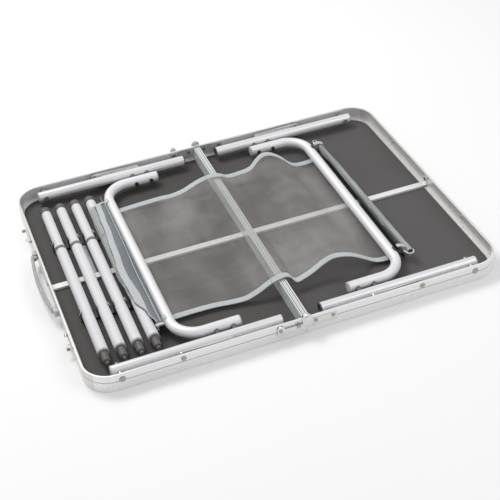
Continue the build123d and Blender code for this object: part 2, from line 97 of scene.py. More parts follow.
class Value:
    """A shader socket that can be added, multiplied and compared like a number."""

    def __init__(self, graph: "Graph", socket: bpy.types.NodeSocket) -> None:
        """Wraps one output socket of a graph."""
        self.graph = graph
        self.socket = socket

    def _math(self, operation: str, *others: Union["Value", Number], flip: bool = False) -> "Value":
        """Adds a Math node on this value.

        Args:
            operation: name of the Math node's operation.
            others: the other inputs.
            flip: True puts this value second.

        Returns:
            The node's output.
        """
        inputs: list[Union["Value", Number]] = [self, *others]
        if flip:
            inputs.reverse()
        return self.graph.add("ShaderNodeMath", {"operation": operation}, dict(enumerate(inputs)))

    def __add__(self, other: Union["Value", Number]) -> "Value":
        """self + other."""
        return self._math("ADD", other)

    def __sub__(self, other: Union["Value", Number]) -> "Value":
        """self - other."""
        return self._math("SUBTRACT", other)

    def __rsub__(self, other: Number) -> "Value":
        """other - self."""
        return self._math("SUBTRACT", other, flip=True)

    def __mul__(self, other: Union["Value", Number]) -> "Value":
        """self * other."""
        return self._math("MULTIPLY", other)

    def __truediv__(self, other: Union["Value", Number]) -> "Value":
        """self / other."""
        return self._math("DIVIDE", other)

    def __gt__(self, other: Union["Value", Number]) -> "Value":
        """1 where self is above other, else 0."""
        return self._math("GREATER_THAN", other)

    def __lt__(self, other: Union["Value", Number]) -> "Value":
        """1 where self is below other, else 0."""
        return self._math("LESS_THAN", other)

    def __pow__(self, other: Number) -> "Value":
        """self to the power of other."""
        return self._math("POWER", other)

    __radd__ = __add__
    __rmul__ = __mul__

    def wave(self, pitch: float) -> "Value":
        """A 0 to 1 sine wave of that pitch in metres."""
        return (self * (2 * math.pi / pitch))._math("SINE") * 0.5 + 0.5

    def larger(self, other: Union["Value", Number]) -> "Value":
        """The higher of two values."""
        return self._math("MAXIMUM", other)

    def remap(self, low: float, high: float, to_low: float, to_high: float) -> "Value":
        """Smoothly maps low..high to to_low..to_high and clamps there."""
        inputs = {0: self, 1: low, 2: high, 3: to_low, 4: to_high}
        settings = {"interpolation_type": "SMOOTHSTEP", "clamp": True}
        return self.graph.add("ShaderNodeMapRange", settings, inputs)


class Graph:
    """The node tree of one finish."""

    def __init__(self, name: str) -> None:
        """Makes an empty material with a surface shader and object coordinates."""
        self.material = bpy.data.materials.new(name)
        self.material.use_nodes = True
        self.tree = self.material.node_tree
        self.tree.nodes.clear()
        self.output = self.tree.nodes.new("ShaderNodeOutputMaterial")
        self.shader = self.tree.nodes.new("ShaderNodeBsdfPrincipled")
        self.tree.links.new(self.shader.outputs[0], self.output.inputs[0])
        self.place = self.add("ShaderNodeTexCoord", {}, {}, "Object")
        self.axes = [self.split(self.place, index) for index in range(3)]

    def add(
        self,
        kind: str,
        settings: dict[str, object],
        inputs: dict[Union[int, str], object],
        output: Union[int, str] = 0,
    ) -> Value:
        """Adds any node.

        Args:
            kind: the node's type.
            settings: attributes set before the inputs.
            inputs: values or links by socket name or number.
            output: the socket that is returned.

        Returns:
            The wrapped output socket.
        """
        node = self.tree.nodes.new(kind)
        for name, setting in settings.items():
            setattr(node, name, setting)
        for key, source in inputs.items():
            self.feed(node.inputs[key], source)
        return Value(self, node.outputs[output])

    def feed(self, socket: bpy.types.NodeSocket, source: object) -> None:
        """Links or sets one input socket."""
        if isinstance(source, Value):
            self.tree.links.new(source.socket, socket)
        elif isinstance(source, tuple) and len(source) == 3 and socket.type == "RGBA":
            socket.default_value = (*source, 1.0)
        else:
            socket.default_value = source

    def split(self, vector: Value, index: int) -> Value:
        """One component of a vector."""
        return self.add("ShaderNodeSeparateXYZ", {}, {0: vector}, index)

    def stretched(self, scale: Point) -> Value:
        """Object coordinates multiplied by a scale for each axis."""
        return self.add("ShaderNodeVectorMath", {"operation": "MULTIPLY"}, {0: self.place, 1: scale})

    def noise(self, scale: float, detail: float = 2.0, place: Optional[Value] = None) -> Value:
        """Fractal noise, 0 to 1, of that many waves a metre."""
        inputs = {"Vector": place or self.place, "Scale": scale, "Detail": detail, "Roughness": 0.55}
        return self.add("ShaderNodeTexNoise", {}, inputs)

    def mix(self, factor: Union[Value, float], low: object, high: object) -> Value:
        """Colour mix from low at factor 0 to high at factor 1."""
        return self.add("ShaderNodeMix", {"data_type": "RGBA"}, {0: factor, 6: low, 7: high}, 2)

    def bump(self, height: Value, depth: float, strength: float = 1.0) -> Value:
        """Normal bent by a height, 0 to 1, of that depth in metres."""
        return self.add("ShaderNodeBump", {}, {"Strength": strength, "Distance": depth, "Height": height})

    def dress(self, **sockets: object) -> bpy.types.Material:
        """Feeds the surface shader and returns the material.

        Args:
            sockets: values or links by socket name, with underscores for spaces.

        Returns:
            The finished material.
        """
        for name, source in sockets.items():
            self.feed(self.shader.inputs[name.replace("_", " ")], source)
        return self.material


# ---------------------------------------------------------------- finishes


@dataclass(frozen=True)
class Finish:
    """Base of every finish: a name and the record's slot that it belongs to."""

    name: str
    slot: str

    def build(self) -> bpy.types.Material:
        """Makes the material."""
        raise NotImplementedError


@dataclass(frozen=True)
class BoardFinish(Finish):
    """Grey laminate of the tabletop boards, matt with a fine paper grain and a rubbed sheen; its colour
    holds painted sheen in cloudy patches and painted light that brightens towards +X.
    """

    deep: Colour = (0.046, 0.041, 0.039)
    light: Colour = (0.094, 0.088, 0.088)

    def build(self) -> bpy.types.Material:
        """Makes the material."""
        graph = Graph(self.name)
        cloud = graph.noise(2.6, 1.0)
        grain = graph.noise(900.0, 3.0)
        fleck = graph.noise(260.0, 2.0)
        # Painted light: the colour grows lighter towards +X, and the cloud noise lightens patches as
        # painted sheen.
        painted_light_falloff = graph.axes[0].remap(-0.25, 0.42, 0.0, 1.0)
        tone = (cloud * 0.55 + painted_light_falloff * 0.5).remap(0.1, 0.95, 0.0, 1.0)
        shade = graph.mix(tone, self.deep, self.light)
        speck = graph.mix(fleck.remap(0.58, 0.75, 0.0, 0.22), shade, (0.16, 0.15, 0.15))
        scuff = graph.noise(34.0, 4.0, graph.stretched((1.0, 0.22, 1.0))).remap(0.6, 0.78, 0.0, 1.0)
        rough = 0.5 + grain * 0.12 - scuff * 0.1
        height = grain * 0.6 + fleck * 0.4
        return graph.dress(
            Base_Color=speck,
            Roughness=rough,
            Normal=graph.bump(height, 0.00012, 0.6),
            Specular_IOR_Level=0.42,
        )


@dataclass(frozen=True)
class MetalFinish(Finish):
    """Drawn or coated metal with streaks along its length, fine pits and rubbed edges."""

    colour: Colour = (0.8, 0.81, 0.82)
    grain: Axis = Axis.X
    metallic: float = 0.85
    roughness: float = 0.34
    streak: float = 0.12
    pitch: float = 700.0
    pit_depth: float = 0.00002
    coat: float = 0.0
    dust: Colour = (0.62, 0.62, 0.6)

    def build(self) -> bpy.types.Material:
        """Makes the material."""
        graph = Graph(self.name)
        scale = [1.0, 1.0, 1.0]
        scale[self.grain.value] = 0.012
        brushed = graph.noise(self.pitch, 3.0, graph.stretched(tuple(scale)))
        pits = graph.noise(1500.0, 2.0)
        patch = graph.noise(6.0, 2.0)
        pointed = graph.add("ShaderNodeNewGeometry", {}, {}, "Pointiness")
        worn = pointed.remap(0.51, 0.58, 0.0, 1.0)
        darker = tuple(channel * 0.94 for channel in self.colour)
        lighter = tuple(min(1.0, channel * 1.04) for channel in self.colour)
        tone = graph.mix(brushed.remap(0.3, 0.7, 0.0, 1.0), darker, lighter)
        dusty = graph.mix(patch.remap(0.55, 0.8, 0.0, 0.14), tone, self.dust)
        rough = (
            self.roughness
            + (brushed - 0.5) * self.streak
            + patch.remap(0.4, 0.75, -0.02, 0.03)
            - worn * 0.08
        )
        height = brushed * 0.6 + pits * 0.4
        return graph.dress(
            Base_Color=dusty,
            Metallic=self.metallic,
            Roughness=rough,
            Normal=graph.bump(height, self.pit_depth, 0.8),
            Coat_Weight=self.coat,
            Coat_Roughness=0.25,
        )


@dataclass(frozen=True)
class PlasticFinish(Finish):
    """Moulded plastic with a spark-eroded grain, flow marks and scuffed high spots."""

    colour: Colour = (0.2, 0.2, 0.2)
    roughness: float = 0.45
    grain_depth: float = 0.00008

    def build(self) -> bpy.types.Material:
        """Makes the material."""
        graph = Graph(self.name)
        grain = graph.noise(1300.0, 3.0)
        flow = graph.noise(60.0, 2.0)
        pointed = graph.add("ShaderNodeNewGeometry", {}, {}, "Pointiness")
        scuff = pointed.remap(0.52, 0.6, 0.0, 0.5)
        pale = tuple(min(1.0, channel * 1.7 + 0.03) for channel in self.colour)
        dark = tuple(channel * 0.82 for channel in self.colour)
        base = graph.mix(flow.remap(0.35, 0.7, 0.0, 1.0), dark, self.colour)
        return graph.dress(
            Base_Color=graph.mix(scuff, base, pale),
            Roughness=self.roughness + grain * 0.12 - flow * 0.06,
            Normal=graph.bump(grain, self.grain_depth, 0.7),
            Specular_IOR_Level=0.5,
        )


@dataclass(frozen=True)
class NetFinish(Finish):
    """Open plain-weave mesh of coated yarn: holes between crossing threads, denser in slack areas.

    cover raises the share of thread, least is how solid the holes stay and glint brightens the crossings.
    """

    thread: Colour = (0.42, 0.4, 0.385)
    bright: Colour = (0.56, 0.54, 0.525)
    pitch: float = 0.0016
    cover: float = 0.06
    least: float = 0.06
    glint: float = 0.0
    warp: Axis = Axis.X
    weft: Axis = Axis.Y

    def build(self) -> bpy.types.Material:
        """Makes the material."""
        graph = Graph(self.name)
        along = graph.axes[self.warp.value]
        across = graph.axes[self.weft.value]
        drift = graph.noise(14.0, 2.0)
        warp = (along + drift * 0.002).wave(self.pitch)
        weft = (across + drift * 0.002).wave(self.pitch)
        strand = warp.larger(weft)
        slack = graph.noise(9.0, 3.0, graph.stretched((1.0, 0.35, 1.0)))
        fold = graph.noise(30.0, 2.0, graph.stretched((0.25, 1.0, 1.0)))
        threshold = 1.0 - self.cover
        solid = (strand + (slack - 0.5) * 0.3 + (fold - 0.5) * 0.14).remap(
            threshold - 0.2, threshold + 0.2, self.least, 1.0
        )
        cloudy = slack.remap(0.35, 0.7, 0.0, 1.0)
        crossing = strand.remap(0.84, 0.99, 0.0, 1.0)
        tone = cloudy * (1.0 - self.glint) + crossing * self.glint
        shade = graph.mix(tone, self.thread, self.bright)
        return graph.dress(
            Base_Color=shade,
            Roughness=0.62,
            Alpha=solid,
            Normal=graph.bump(strand, 0.0003, 0.8),
            Specular_IOR_Level=0.35,
        )


@dataclass(frozen=True)
class TapeFinish(Finish):
    """Woven binding tape with a herringbone of fine ribs and a row of lock stitches by each edge."""

    colour: Colour = (0.54, 0.57, 0.585)
    stitch: Colour = (0.72, 0.74, 0.74)
    rib_pitch: float = 0.0011
    stitch_pitch: float = 0.004

    def build(self) -> bpy.types.Material:
        """Makes the material."""
        graph = Graph(self.name)
        along, across = graph.axes[0], graph.axes[1]
        ribs = (along + across * 0.6).wave(self.rib_pitch)
        cross = (along - across * 0.6).wave(self.rib_pitch)
        weave = ribs.larger(cross)
        fray = graph.noise(420.0, 3.0)
        stain = graph.noise(16.0, 3.0)
        dark = tuple(channel * 0.72 for channel in self.colour)
        shade = graph.mix((weave * 0.5 + stain * 0.5).remap(0.25, 0.85, 0.0, 1.0), dark, self.colour)
        thread = (along + across).wave(self.stitch_pitch).remap(0.55, 0.75, 0.0, 1.0) * fray.remap(
            0.42, 0.6, 0.0, 1.0
        )
        return graph.dress(
            Base_Color=graph.mix(thread * 0.5, shade, self.stitch),
            Roughness=0.74 - thread * 0.12,
            Normal=graph.bump(weave * 0.7 + fray * 0.3, 0.0003, 0.9),
            Sheen_Weight=0.25,
            Sheen_Roughness=0.5,
        )


@dataclass(frozen=True)
class FloorFinish(Finish):
    """Plain pale studio floor."""

    colour: Colour = (0.93, 0.93, 0.93)

    def build(self) -> bpy.types.Material:
        """Makes the material."""
        graph = Graph(self.name)
        soft = graph.noise(1.5, 1.0)
        low = tuple(channel * 0.985 for channel in self.colour)
        return graph.dress(Base_Color=graph.mix(soft, low, self.colour), Roughness=0.85)


RIM = MetalFinish(
    "rim_satin_aluminium", "rim_aluminium", colour=(0.86, 0.86, 0.87), metallic=0.35, roughness=0.36,
    streak=0.02, pit_depth=0.000003, dust=(0.8, 0.79, 0.78),
)
# The end walls are the same bent aluminium as the long walls: their darker colour is painted shade, only
# the grain along Y is their own.
RIM_END_SHADED = MetalFinish(
    "rim_end_aluminium_painted_shade", "rim_aluminium", colour=(0.72, 0.71, 0.69), grain=Axis.Y, metallic=0.35,
    roughness=0.42, streak=0.02, pit_depth=0.000003, dust=(0.68, 0.67, 0.65),
)
# Dark metal for the floor of the rim's groove: painted shadow that falls in the groove.
RIM_GROOVE_SHADOW = MetalFinish(
    "rim_groove_painted_shadow", "rim_aluminium", colour=(0.2, 0.19, 0.19), metallic=0.4, roughness=0.55,
    dust=(0.26, 0.25, 0.24),
)
RIVET = MetalFinish(
    "bronze_rivet", "plated_steel", colour=(0.42, 0.37, 0.33), metallic=0.75, roughness=0.36,
    pit_depth=0.00008, dust=(0.4, 0.34, 0.3),
)
RAIL = MetalFinish(
    "rail_aluminium", "rim_aluminium", colour=(0.82, 0.86, 0.84), grain=Axis.Y, metallic=0.3,
    roughness=0.34, streak=0.04, dust=(0.76, 0.8, 0.78),
)
RIB = MetalFinish(
    "rib_aluminium", "rim_aluminium", colour=(0.84, 0.86, 0.85), metallic=0.2, roughness=0.42,
    dust=(0.8, 0.82, 0.8),
)
LEG_TUBE = MetalFinish(
    "leg_tube_silver_paint", "tube_aluminium", colour=(0.82, 0.82, 0.84), metallic=0.35,
    roughness=0.38, streak=0.05, coat=0.15,
)
CROSS_TUBE = MetalFinish(
    "cross_tube_silver_paint", "tube_aluminium", colour=(0.84, 0.84, 0.86), grain=Axis.Y,
    metallic=0.25, roughness=0.44, streak=0.05, coat=0.15,
)
EXTENSION_TUBE = MetalFinish(
    "extension_tube_silver_paint", "tube_aluminium", colour=(0.7, 0.7, 0.72), grain=Axis.Y,
    metallic=0.0, roughness=0.58, streak=0.05,
)
PLATED = MetalFinish(
    "zinc_plated_steel", "plated_steel", colour=(0.76, 0.76, 0.75), metallic=0.6, roughness=0.32,
    dust=(0.62, 0.6, 0.57),
)
SPRING = MetalFinish(
    "spring_steel", "plated_steel", colour=(0.5, 0.5, 0.5), grain=Axis.Y, metallic=0.9, roughness=0.32
)
SCREW = MetalFinish(
    "blackened_screw", "plated_steel", colour=(0.1, 0.1, 0.11), metallic=0.8, roughness=0.38,
    dust=(0.3, 0.3, 0.3),
)
PLUG_WHITE = PlasticFinish("tube_plug_pale", "grey_plastic", colour=(0.58, 0.58, 0.59), roughness=0.4)
COLLAR = PlasticFinish("collar_grey", "grey_plastic", colour=(0.36, 0.36, 0.36), roughness=0.5)
LATCH_KNOB = PlasticFinish("latch_knob_brown", "dark_plastic", colour=(0.36, 0.27, 0.24), roughness=0.4)
HANDLE = PlasticFinish("handle_grey", "grey_plastic", colour=(0.4, 0.4, 0.41), roughness=0.42)
BATTEN = PlasticFinish("batten_pale", "grey_plastic", colour=(0.42, 0.45, 0.45), roughness=0.45)
DARK = PlasticFinish("fitting_dark", "dark_plastic", colour=(0.12, 0.112, 0.11), roughness=0.48)
# Black of the clip bases; on the right net batten it stands for painted shade, since that batten lies in
# shadow.
BLACK_AND_PAINTED_SHADE = PlasticFinish("clip_base_black", "dark_plastic", colour=(0.012, 0.012, 0.013), roughness=0.4)
SOCKET = PlasticFinish("socket_dark", "dark_plastic", colour=(0.05, 0.05, 0.052), roughness=0.4)
NET = NetFinish("storage_net_mesh", "net_fabric")
# The folded copy of the net: its bright threads carry the net's own grey, while the near-black, nearly
# solid holes between them are painted shade.
NET_FOLDED_SHADED = NetFinish(
    "storage_net_folded_painted_shade", "net_fabric", thread=(0.035, 0.04, 0.048), bright=(0.42, 0.45, 0.48),
    pitch=0.0027, cover=0.75, least=0.7, glint=0.85,
)
NET_ROLLED = NetFinish(
    "storage_net_rolled", "net_fabric", thread=(0.16, 0.17, 0.175), bright=(0.6, 0.63, 0.63),
    pitch=0.0027, cover=0.9, least=1.0, glint=0.6,
)
NET_TAIL = NetFinish(
    "storage_net_tail", "net_fabric", thread=(0.2, 0.215, 0.21), bright=(0.5, 0.52, 0.51),
    pitch=0.0022, cover=0.22, least=0.12, glint=0.6,
)
HOOK = PlasticFinish("net_hook_pale", "grey_plastic", colour=(0.56, 0.59, 0.59), roughness=0.42)
WIRE = MetalFinish(
    "clip_wire_bright", "plated_steel", colour=(0.75, 0.75, 0.74), metallic=0.9, roughness=0.25, streak=0.05
)
TAPE = TapeFinish("binding_tape", "net_fabric")
FLOOR = FloorFinish("studio_floor", "")


class Wardrobe:
    """Keeps one material of each finish."""

    def __init__(self) -> None:
        """Starts empty."""
        self._made: dict[str, bpy.types.Material] = {}

    def get(self, finish: Finish) -> bpy.types.Material:
        """The material of a finish, made once."""
        if finish.name not in self._made:
            self._made[finish.name] = finish.build()
        return self._made[finish.name]

    def dress_node(self, node: str, finish: Finish) -> Piece:
        """Gives a CAD node one finish.

        Args:
            node: the node's name.
            finish: what it is to wear.

        Returns:
            The node's object.
        """
        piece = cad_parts[node]
        piece.data.materials.clear()
        piece.data.materials.append(self.get(finish))
        log.info("%s wears %s", node, finish.name)
        return piece

    def dress_parts(
        self, node: str, finishes: Sequence[Finish], choose: Callable[[Vector, Vector], int]
    ) -> None:
        """Gives the faces of a CAD node different finishes.

        Args:
            node: the node's name.
            finishes: the finishes in order.
            choose: number of the finish for the low and high corner of a face's box.
        """
        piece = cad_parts[node]
        piece.data.materials.clear()
        for finish in finishes:
            piece.data.materials.append(self.get(finish))
        bpy.context.view_layer.update()
        corners = [piece.matrix_world @ vertex.co for vertex in piece.data.vertices]
        for polygon in piece.data.polygons:
            spots = [corners[number] for number in polygon.vertices]
            low = Vector([min(spot[axis] for spot in spots) for axis in range(3)])
            high = Vector([max(spot[axis] for spot in spots) for axis in range(3)])
            polygon.material_index = choose(low, high)
        log.info("%s wears %s", node, ", ".join(finish.name for finish in finishes))


wardrobe = Wardrobe()


# ---------------------------------------------------------------- mesh helpers


def new_piece(
    name: str, points: Sequence[Point], faces: Sequence[Sequence[int]], finish: Finish
) -> Piece:
    """Makes a smooth-shaded mesh piece.

    Args:
        name: the piece's name.
        points: its vertices.
        faces: its faces as vertex numbers.
        finish: what it wears.

    Returns:
        The new object, linked to the scene.
    """
    mesh = bpy.data.meshes.new(name)
    mesh.from_pydata([tuple(point) for point in points], [], [tuple(face) for face in faces])
    mesh.validate()
    mesh.polygons.foreach_set("use_smooth", [True] * len(mesh.polygons))
    mesh.update()
    piece = bpy.data.objects.new(name, mesh)
    bpy.context.scene.collection.objects.link(piece)
    piece.data.materials.append(wardrobe.get(finish))
    return piece


def sheet_faces(rows: int, columns: int) -> list[tuple[int, int, int, int]]:
    """Faces of a grid of points stored row by row."""
    corners = (row * columns + column for row in range(rows - 1) for column in range(columns - 1))
    return [(corner, corner + 1, corner + columns + 1, corner + columns) for corner in corners]


def ring_faces(rings: int, sides: int, clockwise: bool) -> list[tuple[int, ...]]:
    """Faces of a closed bar whose points are stored ring by ring, with both ends.

    Args:
        rings: number of rings along the bar.
        sides: number of points of each ring.
        clockwise: whether the rings run clockwise, looking along the bar.

    Returns:
        The faces as vertex numbers, all looking outwards.
    """
    faces: list[tuple[int, ...]] = []
    for ring in range(rings - 1):
        for side in range(sides):
            here = ring * sides + side
            after = ring * sides + (side + 1) % sides
            quad = (here, after, after + sides, here + sides)
            faces.append((quad[0], *quad[:0:-1]) if clockwise else quad)
    ends = (tuple(range(sides)), tuple(range((rings - 1) * sides, rings * sides)))
    start, finish = (ends[0], ends[1][::-1]) if clockwise else (ends[0][::-1], ends[1])
    return [*faces, start, finish]


def in_metres(knots: Sequence[Point]) -> list[Point]:
    """Knots given in millimetres, turned into metres."""
    return [tuple(MM * number for number in knot) for knot in knots]


def thicken(piece: Piece, thickness: float) -> None:
    """Turns a sheet into a closed cloth of that thickness and applies it to the mesh."""
    solid = piece.modifiers.new("thickness", "SOLIDIFY")
    solid.thickness = thickness
    solid.offset = 0.0
    apply_modifiers(piece)


def apply_modifiers(piece: Piece) -> None:
    """Bakes a piece's modifiers into its mesh."""
    graph = bpy.context.evaluated_depsgraph_get()
    mesh = bpy.data.meshes.new_from_object(piece.evaluated_get(graph), depsgraph=graph)
    old = piece.data
    piece.modifiers.clear()
    piece.data = mesh
    bpy.data.meshes.remove(old)


def curve_through(knots: Sequence[Point], steps: int) -> list[Vector]:
    """Smooth Catmull-Rom curve through knots with evenly shared steps.

    Args:
        knots: points that the curve passes through.
        steps: number of spans between two knots.

    Returns:
        The points of the curve.
    """
    spots = [Vector(knot) for knot in knots]
    spots = [spots[0] * 2 - spots[1], *spots, spots[-1] * 2 - spots[-2]]
    path: list[Vector] = []
    for index in range(1, len(spots) - 2):
        a, b, c, d = spots[index - 1 : index + 3]
        for step in range(steps):
            t = step / steps
            square = (2 * a - 5 * b + 4 * c - d) * t**2
            cube = (3 * b - a - 3 * c + d) * t**3
            path.append(0.5 * (2 * b + (c - a) * t + square + cube))
    path.append(spots[-2])
    return path


def value_at(knots: Sequence[tuple[float, float]], where: float) -> float:
    """Smoothly interpolated value of a table of (place, value) knots."""
    if where <= knots[0][0]:
        return knots[0][1]
    for (x0, v0), (x1, v1) in zip(knots, knots[1:]):
        if where <= x1:
            t = (where - x0) / (x1 - x0)
            return v0 + (v1 - v0) * t * t * (3 - 2 * t)
    return knots[-1][1]


def swept_wire(name: str, path: Sequence[Vector], radius: float, finish: Finish, sides: int = 8) -> Piece:
    """A round wire with closed ends along a path.

    Args:
        name: the piece's name.
        path: points of its centre line.
        radius: the wire's radius.
        finish: what it wears.
        sides: number of faces round the wire.

    Returns:
        The new object.
    """
    points: list[Vector] = []
    normal = Vector((0.0, 0.0, 1.0))
    for index, spot in enumerate(path):
        ahead = path[min(index + 1, len(path) - 1)]
        behind = path[max(index - 1, 0)]
        along = (ahead - behind).normalized()
        normal = (normal - along * normal.dot(along)).normalized()
        side = along.cross(normal)
        for corner in range(sides):
            angle = 2 * math.pi * corner / sides
            points.append(spot + (normal * math.cos(angle) + side * math.sin(angle)) * radius)
    return new_piece(name, points, ring_faces(len(path), sides, False), finish)


def turned(name: str, profile: Sequence[tuple[float, float]], centre: Point, finish: Finish) -> Piece:
    """A part turned round an axis that runs along Y.

    Args:
        name: the piece's name.
        profile: (y, radius) points in metres.
        centre: a point of the axis.
        finish: what it wears.

    Returns:
        The new object.
    """
    sides = 40
    middle = Vector(centre)
    turns = [2 * math.pi * side / sides for side in range(sides)]
    points = [
        middle + Vector((radius * math.cos(turn), y, radius * math.sin(turn)))
        for y, radius in profile
        for turn in turns
    ]
    *walls, start, end = ring_faces(len(profile), sides, True)
    return new_piece(name, points, [*walls, end[::-1], start[::-1]], finish)


def joined(name: str, pieces: Sequence[Piece]) -> Piece:
    """Joins mesh pieces into the first one and renames it."""
    target = pieces[0]
    builder = bmesh.new()
    materials: list[bpy.types.Material] = []
    for piece in pieces:
        start = len(builder.faces)
        builder.from_mesh(piece.data)
        builder.faces.ensure_lookup_table()
        offset = len(materials)
        materials.extend(piece.data.materials)
        for face in builder.faces[start:]:
            face.material_index += offset
    unique = list(dict.fromkeys(materials))
    for face in builder.faces:
        face.material_index = unique.index(materials[face.material_index])
    builder.to_mesh(target.data)
    builder.free()
    target.data.materials.clear()
    for material in unique:
        target.data.materials.append(material)
    for piece in pieces[1:]:
        bpy.data.objects.remove(piece)
    target.name = name
    return target


# ---------------------------------------------------------------- tabletop


@dataclass
class TabletopHalf:
    """One half of the tabletop with its rim, rail, rib, hinge leaves and rivets."""

    half: Half
    groove: tuple[float, float] = (0.0204, 0.0218)
    end_wall: float = 0.385

    def _rim_face(self, low: Vector, high: Vector) -> int:
        """Long walls, end walls in a darker copy of the metal as painted shade, and the floor of the groove
        in painted shadow.
        """
        # Faces within the groove's height take the painted groove shadow.
        if self.groove[0] < low.z and high.z < self.groove[1]:
            return 2
        return int(min(abs(low.x), abs(high.x)) > self.end_wall)

    def build(self) -> None:
        """Dresses the half's nodes."""
        label = self.half.label
        wardrobe.dress_node(f"{label}_panel", BoardFinish("board_laminate", "tabletop_board"))
        wardrobe.dress_parts(f"{label}_rim", (RIM, RIM_END_SHADED, RIM_GROOVE_SHADOW), self._rim_face)
        wardrobe.dress_node(f"{label}_centre_rail", RAIL)
        wardrobe.dress_node(f"{label}_panel_rib", RIB)
        wardrobe.dress_node(f"{label}_hinge_leaves", PLATED)
        for node in ("rim_rivets", "leg_pivot_bolts", "strut_rivets"):
            wardrobe.dress_node(f"{label}_{node}", RIVET)


# ---------------------------------------------------------------- leg frames


@dataclass
class LegFrame:
    """Two leg tubes and the U-shaped cross tube of one half, with plugs, screws and struts."""

    half: Half

    def build(self) -> None:
        """Dresses the frame's nodes."""
        label = self.half.label
        finishes = {
            "leg_tubes": LEG_TUBE,
            "u_tube": CROSS_TUBE,
            "tube_plugs": PLUG_WHITE,
            "leg_sockets": SOCKET,
            "u_spacers": SOCKET,
            "u_screws": SCREW,
            "leg_strut_rivets": PLATED,
            "strut_wall_links": PLATED,
            "strut_leg_links": PLATED,
        }
        for node, finish in finishes.items():
            wardrobe.dress_node(f"{label}_{node}", finish)
        # The right batten wears black as painted shade; the left one keeps the batten's own pale colour.
        wardrobe.dress_node(f"{label}_net_batten", BLACK_AND_PAINTED_SHADE if self.half is Half.RIGHT else BATTEN)


# ---------------------------------------------------------------- extension legs


LEG_CENTRES = (-0.353, -0.322, -0.291, -0.260)
LEG_HEIGHT = 0.021


@dataclass
class ExtensionLeg:
    """One loose extension leg: main tube, push-in plug with collar and lock ring, sliding foot."""

    number: int
    collar: tuple[float, float] = (-0.2242, -0.2199)
    cap_start: float = 0.2215
    cap_profile: tuple[tuple[float, float], ...] = (
        (0.2125, 0.01000), (0.2127, 0.01055), (0.2134, 0.01080), (0.2160, 0.01070), (0.2168, 0.01085),
        (0.2245, 0.01085), (0.2262, 0.01045), (0.2273, 0.00940), (0.2277, 0.00700), (0.2275, 0.00300),
    )

    def build(self) -> None:
        """Dresses the leg's nodes."""
        name = f"extension_{self.number}"
        wardrobe.dress_node(f"{name}_tube", EXTENSION_TUBE)
        wardrobe.dress_parts(f"{name}_fittings", (DARK, COLLAR), self._fitting)
        wardrobe.dress_parts(f"{name}_foot", (EXTENSION_TUBE, DARK), self._foot)
        centre = (LEG_CENTRES[self.number - 1], 0.0, LEG_HEIGHT)
        cap = turned(f"{name}_foot_cap", self.cap_profile, centre, DARK)
        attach(cap, f"{name}_foot")

    def _fitting(self, low: Vector, high: Vector) -> int:
        """Dark plug and lock ring, lighter collar."""
        return int(low.y > self.collar[0] and high.y < self.collar[1])

    def _foot(self, low: Vector, high: Vector) -> int:
        """Painted tube with a dark cap."""
        return int(low.y > self.cap_start)


@dataclass
class ClipRows:
    """Spring clips that hold the extension legs, each with a wire loop beside its cradle."""

    rows: tuple[tuple[str, float, float], ...] = (("far", 0.112, 11.6), ("near", -0.109, 12.3))
    strip_top: float = 0.0071

    def build(self) -> None:
        """Dresses the clips."""
        wardrobe.dress_node("clip_bases", BLACK_AND_PAINTED_SHADE)
        wardrobe.dress_parts("clip_springs", (BLACK_AND_PAINTED_SHADE, SPRING), self._spring)
        for number, x in enumerate(LEG_CENTRES, start=1):
            for label, y, radius in self.rows:
                path = self._loop(x, y, radius, number == 1)
                wire = swept_wire(f"clip_wire_{label}_{number}", path, 0.0007, WIRE)
                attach(wire, "left_half")

    def _spring(self, low: Vector, high: Vector) -> int:
        """Black sheet in the cradles, plain steel for the tie strip."""
        return int(high.z < self.strip_top)

    def _loop(self, x: float, y: float, radius: float, outer: bool) -> list[Vector]:
        """Wire that leans over one leg: up beside it, over its shoulder and back down."""
        knots = []
        span = 5.0 if outer else 4.0
        hand = -1.0 if outer else 1.0
        rise = [(-30, -span), (0, -span), (28, -span * 0.8)]
        fall = [(turn, -along) for turn, along in reversed(rise)]
        for turn, along in (*rise, (44, 0.0), *fall):
            angle = math.radians(turn)
            reach = radius + 1.4 + (1.6 if outer and turn <= 0 else 0.0)
            knots.append(
                (
                    x + hand * reach * MM * math.cos(angle),
                    y + along * MM,
                    LEG_HEIGHT + reach * MM * math.sin(angle),
                )
            )
        return curve_through(knots, 6)


@dataclass
class Handle:
    """Carrying handle with its brackets on the left end wall."""

    latch_face: float = -0.40385

    def _latch(self, low: Vector, high: Vector) -> int:
        """Plated hook with a brown knob on its outer face."""
        return int(high.x < self.latch_face + 0.0001 and low.x < self.latch_face - 0.001)

    def build(self) -> None:
        """Dresses the handle, its brackets, the latches and their studs."""
        wardrobe.dress_node("handle_grip", HANDLE)
        wardrobe.dress_node("handle_brackets", HANDLE)
        wardrobe.dress_node("hinge_pins", PLATED)
        for row in Row:
            wardrobe.dress_parts(f"latch_{row.name.lower()}", (PLATED, LATCH_KNOB), self._latch)
        wardrobe.dress_node("latch_studs", PLATED)


# ---------------------------------------------------------------- storage net


